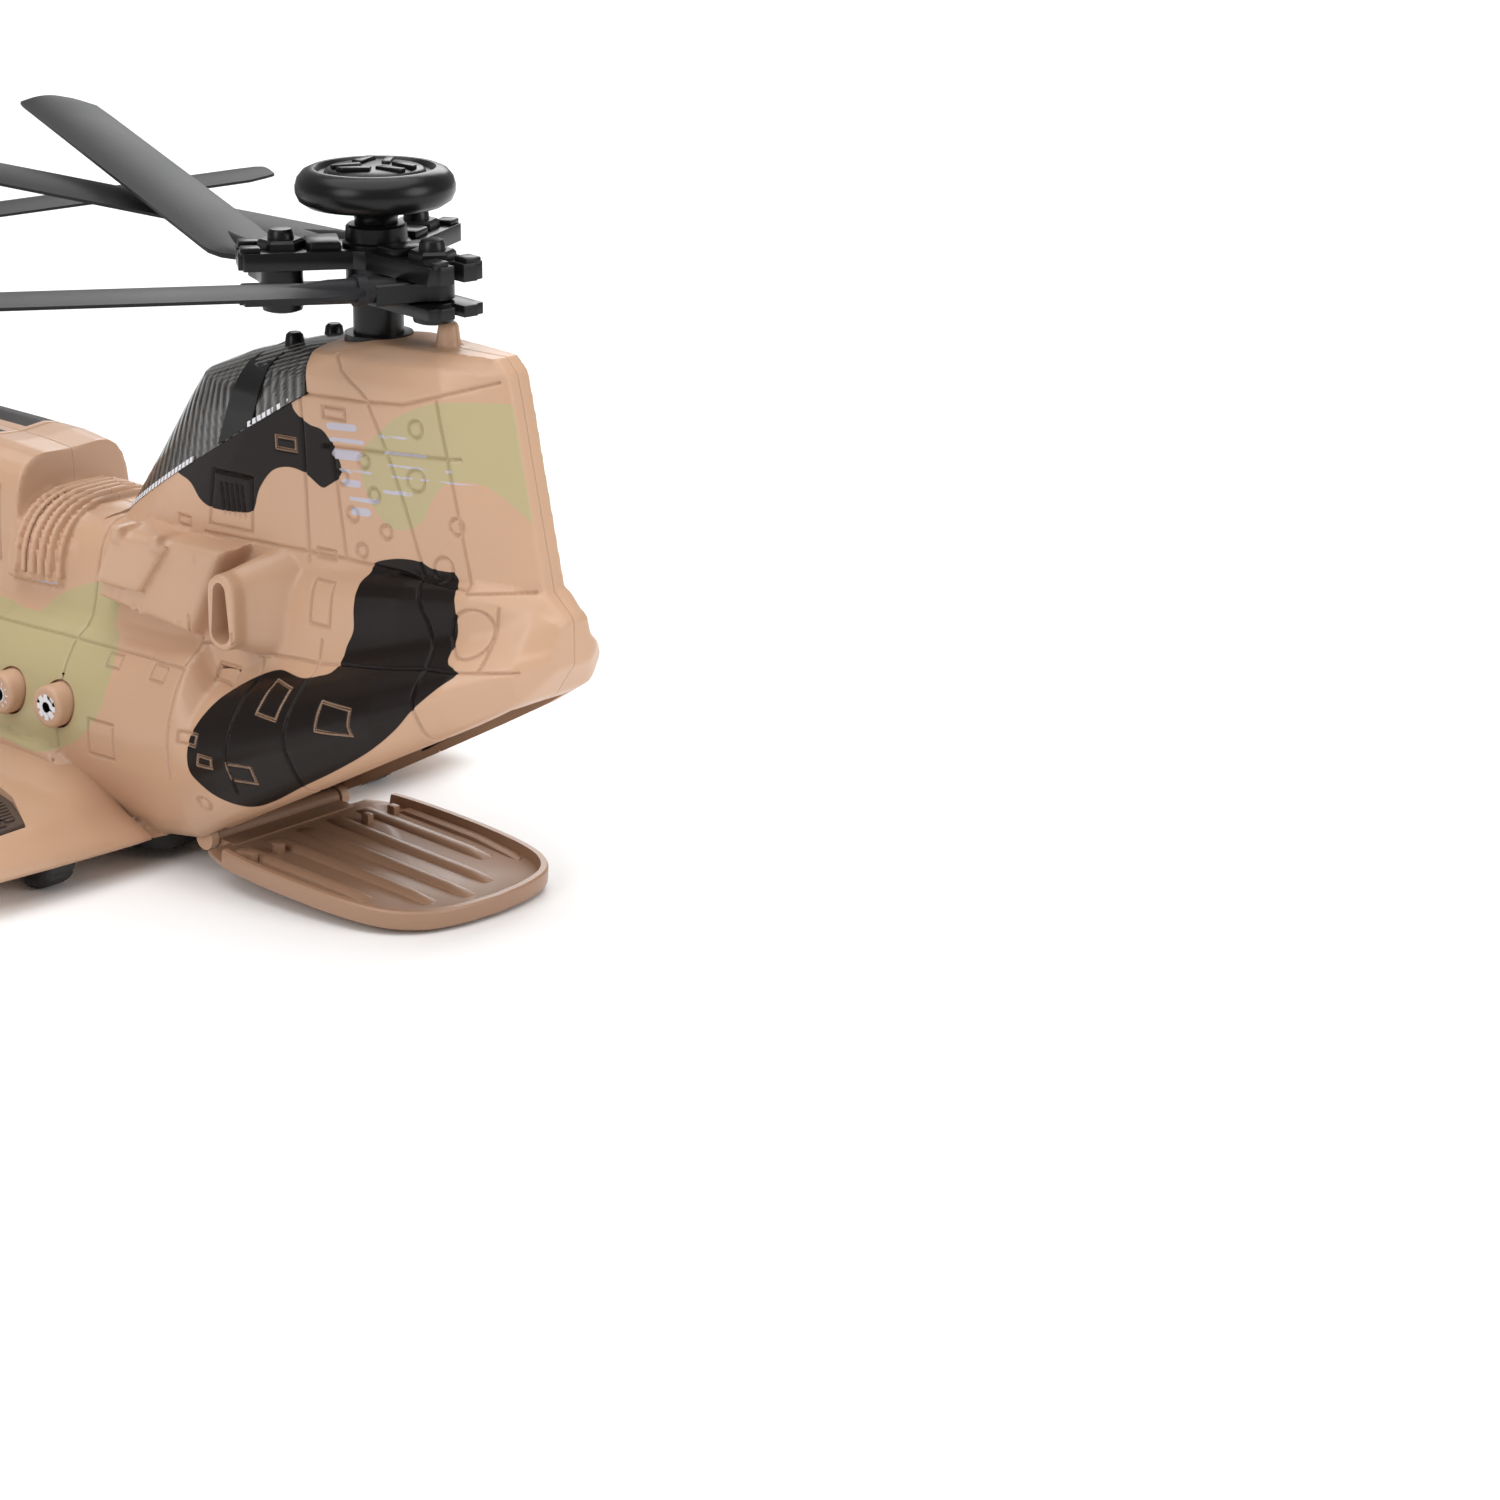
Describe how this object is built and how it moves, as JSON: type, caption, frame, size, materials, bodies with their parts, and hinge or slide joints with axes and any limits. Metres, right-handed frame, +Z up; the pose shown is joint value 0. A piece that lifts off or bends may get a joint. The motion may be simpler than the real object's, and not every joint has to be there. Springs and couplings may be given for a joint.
{
  "type": "toy helicopter",
  "caption": "Tandem-rotor toy transport helicopter with folding blades, press knobs on the masts, side buttons, stub wings and a drop-down tail ramp into a cargo bay.",
  "frame": {"origin": "on the ground, at the centre of the object's footprint box", "axes": "nose to -X, port side to -Y, +Z up"},
  "size_m": [0.3643, 0.3397, 0.1632],
  "materials": {
    "shell_tan": "satin moulded plastic, desert camouflage print",
    "smoke_window": "smoke-grey ribbed clear plastic",
    "rotor_black": "satin black moulded plastic",
    "ramp_tan": "satin tan moulded plastic",
    "plate_brown": "dark brown moulded plastic with fine ribs",
    "button_tan": "satin tan moulded plastic",
    "wheel_black": "black rubbery plastic",
    "steel": "bright steel pins, springs and screws",
    "board_green": "printed circuit board",
    "brass": "plated contact strip",
    "white_plastic": "milky lamp and dome plastic",
    "inner_tan": "plain tan inner moulding"
  },
  "bodies": {
    "hull": {"battery_box": "inner_tan", "battery_contacts": "brass", "battery_door": "shell_tan", "battery_door_screw": "steel", "belly_pads": "wheel_black", "button_board": "board_green", "button_cells": "steel", "cargo_bay_trough": "inner_tan", "cockpit_lamp": "white_plastic", "cockpit_window": "smoke_window", "front_mast_bushing": "rotor_black", "hull_port_half": "shell_tan", "hull_starboard_half": "shell_tan", "light_button_dome": "white_plastic", "main_board": "board_green", "pylon_lamp": "white_plastic", "ramp_hinge_pin": "steel", "rear_mast_bushing": "rotor_black", "rear_pylon_window": "smoke_window", "rear_wheel_axles": "steel", "shell_screws": "steel", "sound_button_dome": "white_plastic", "speaker": "rotor_black", "stub_wing_port": "shell_tan", "stub_wing_starboard": "shell_tan", "wing_plate_port": "plate_brown", "wing_plate_starboard": "plate_brown"},
    "rear_rotor": {"rear_mast": "rotor_black", "rear_mast_retainer": "rotor_black", "rear_hub_lower": "rotor_black", "rear_hub_upper": "rotor_black", "rear_blade_pins": "rotor_black", "rear_knob_spring": "steel"},
    "rear_blade_1": {"rear_blade_1": "rotor_black"},
    "rear_blade_2": {"rear_blade_2": "rotor_black"},
    "rear_blade_3": {"rear_blade_3": "rotor_black"},
    "rear_knob": {"rear_press_knob": "rotor_black"},
    "front_rotor": {"front_mast": "rotor_black", "front_mast_retainer": "rotor_black", "front_hub_lower": "rotor_black", "front_hub_upper": "rotor_black", "front_blade_pins": "rotor_black", "front_knob_spring": "steel"},
    "front_blade_1": {"front_blade_1": "rotor_black"},
    "front_blade_2": {"front_blade_2": "rotor_black"},
    "front_blade_3": {"front_blade_3": "rotor_black"},
    "front_knob": {"front_press_knob": "rotor_black"},
    "ramp": {"tail_ramp": "ramp_tan"},
    "light_button": {"light_button": "button_tan"},
    "sound_button": {"sound_button": "button_tan"},
    "rear_wheel_port": {"rear_wheel_port": "wheel_black"},
    "rear_wheel_starboard": {"rear_wheel_starboard": "board_green"},
    "nose_wheels": {"nose_wheels": "wheel_black", "nose_axle": "steel"}
  },
  "joints": [
    {"name": "rear_rotor_spin", "type": "hinge", "parent": "hull", "child": "rear_rotor", "pos_m": [0.126, 0, 0.139], "axis": [0, 0, 1], "continuous": true},
    {"name": "rear_blade_1_fold", "type": "hinge", "parent": "rear_rotor", "child": "rear_blade_1", "pos_m": [0.11282, -0.0157, 0.1389], "axis": [0, 0, 1], "range_deg": [0, 74]},
    {"name": "rear_blade_2_fold", "type": "hinge", "parent": "rear_rotor", "child": "rear_blade_2", "pos_m": [0.14619, -0.00356, 0.1389], "axis": [0, 0, 1], "range_deg": [0, 103]},
    {"name": "rear_blade_3_fold", "type": "hinge", "parent": "rear_rotor", "child": "rear_blade_3", "pos_m": [0.11899, 0.01926, 0.1389], "axis": [0, 0, 1], "range_deg": [-72, 0]},
    {"name": "rear_knob_press", "type": "slide", "parent": "rear_rotor", "child": "rear_knob", "axis": [0, 0, -1], "range_m": [0, 0.003], "stiffness_N_per_m": 250, "deforming": ["rear_knob_spring"]},
    {"name": "front_rotor_spin", "type": "hinge", "parent": "hull", "child": "front_rotor", "pos_m": [-0.1084, 0, 0.1107], "axis": [0, 0, 1], "continuous": true},
    {"name": "front_blade_1_fold", "type": "hinge", "parent": "front_rotor", "child": "front_blade_1", "pos_m": [-0.12775, 0.00678, 0.1106], "axis": [0, 0, 1], "range_deg": [0, 86.7]},
    {"name": "front_blade_2_fold", "type": "hinge", "parent": "front_rotor", "child": "front_blade_2", "pos_m": [-0.10459, -0.02014, 0.1106], "axis": [0, 0, 1], "range_deg": [-40, 36.2]},
    {"name": "front_blade_3_fold", "type": "hinge", "parent": "front_rotor", "child": "front_blade_3", "pos_m": [-0.09286, 0.01337, 0.1106], "axis": [0, 0, 1], "range_deg": [0, 87]},
    {"name": "front_knob_press", "type": "slide", "parent": "front_rotor", "child": "front_knob", "axis": [0, 0, -1], "range_m": [0, 0.003], "stiffness_N_per_m": 250, "deforming": ["front_knob_spring"]},
    {"name": "ramp_hinge", "type": "hinge", "parent": "hull", "child": "ramp", "pos_m": [0.088, 0, 0.008], "axis": [0, -1, 0], "range_deg": [0, 28]},
    {"name": "light_button_press", "type": "slide", "parent": "hull", "child": "light_button", "axis": [0, 1, 0], "range_m": [0, 0.0015], "stiffness_N_per_m": 400, "deforming": ["light_button_dome"]},
    {"name": "sound_button_press", "type": "slide", "parent": "hull", "child": "sound_button", "axis": [0, 1, 0], "range_m": [0, 0.0015], "stiffness_N_per_m": 400, "deforming": ["sound_button_dome"]},
    {"name": "rear_wheel_port_spin", "type": "hinge", "parent": "hull", "child": "rear_wheel_port", "pos_m": [0.067, -0.051, 0.007], "axis": [0, 1, 0], "continuous": true},
    {"name": "rear_wheel_starboard_spin", "type": "hinge", "parent": "hull", "child": "rear_wheel_starboard", "pos_m": [0.067, 0.051, 0.007], "axis": [0, 1, 0], "continuous": true},
    {"name": "nose_wheels_spin", "type": "hinge", "parent": "hull", "child": "nose_wheels", "pos_m": [-0.136, 0, 0.007], "axis": [0, 1, 0], "continuous": true}
  ]
}
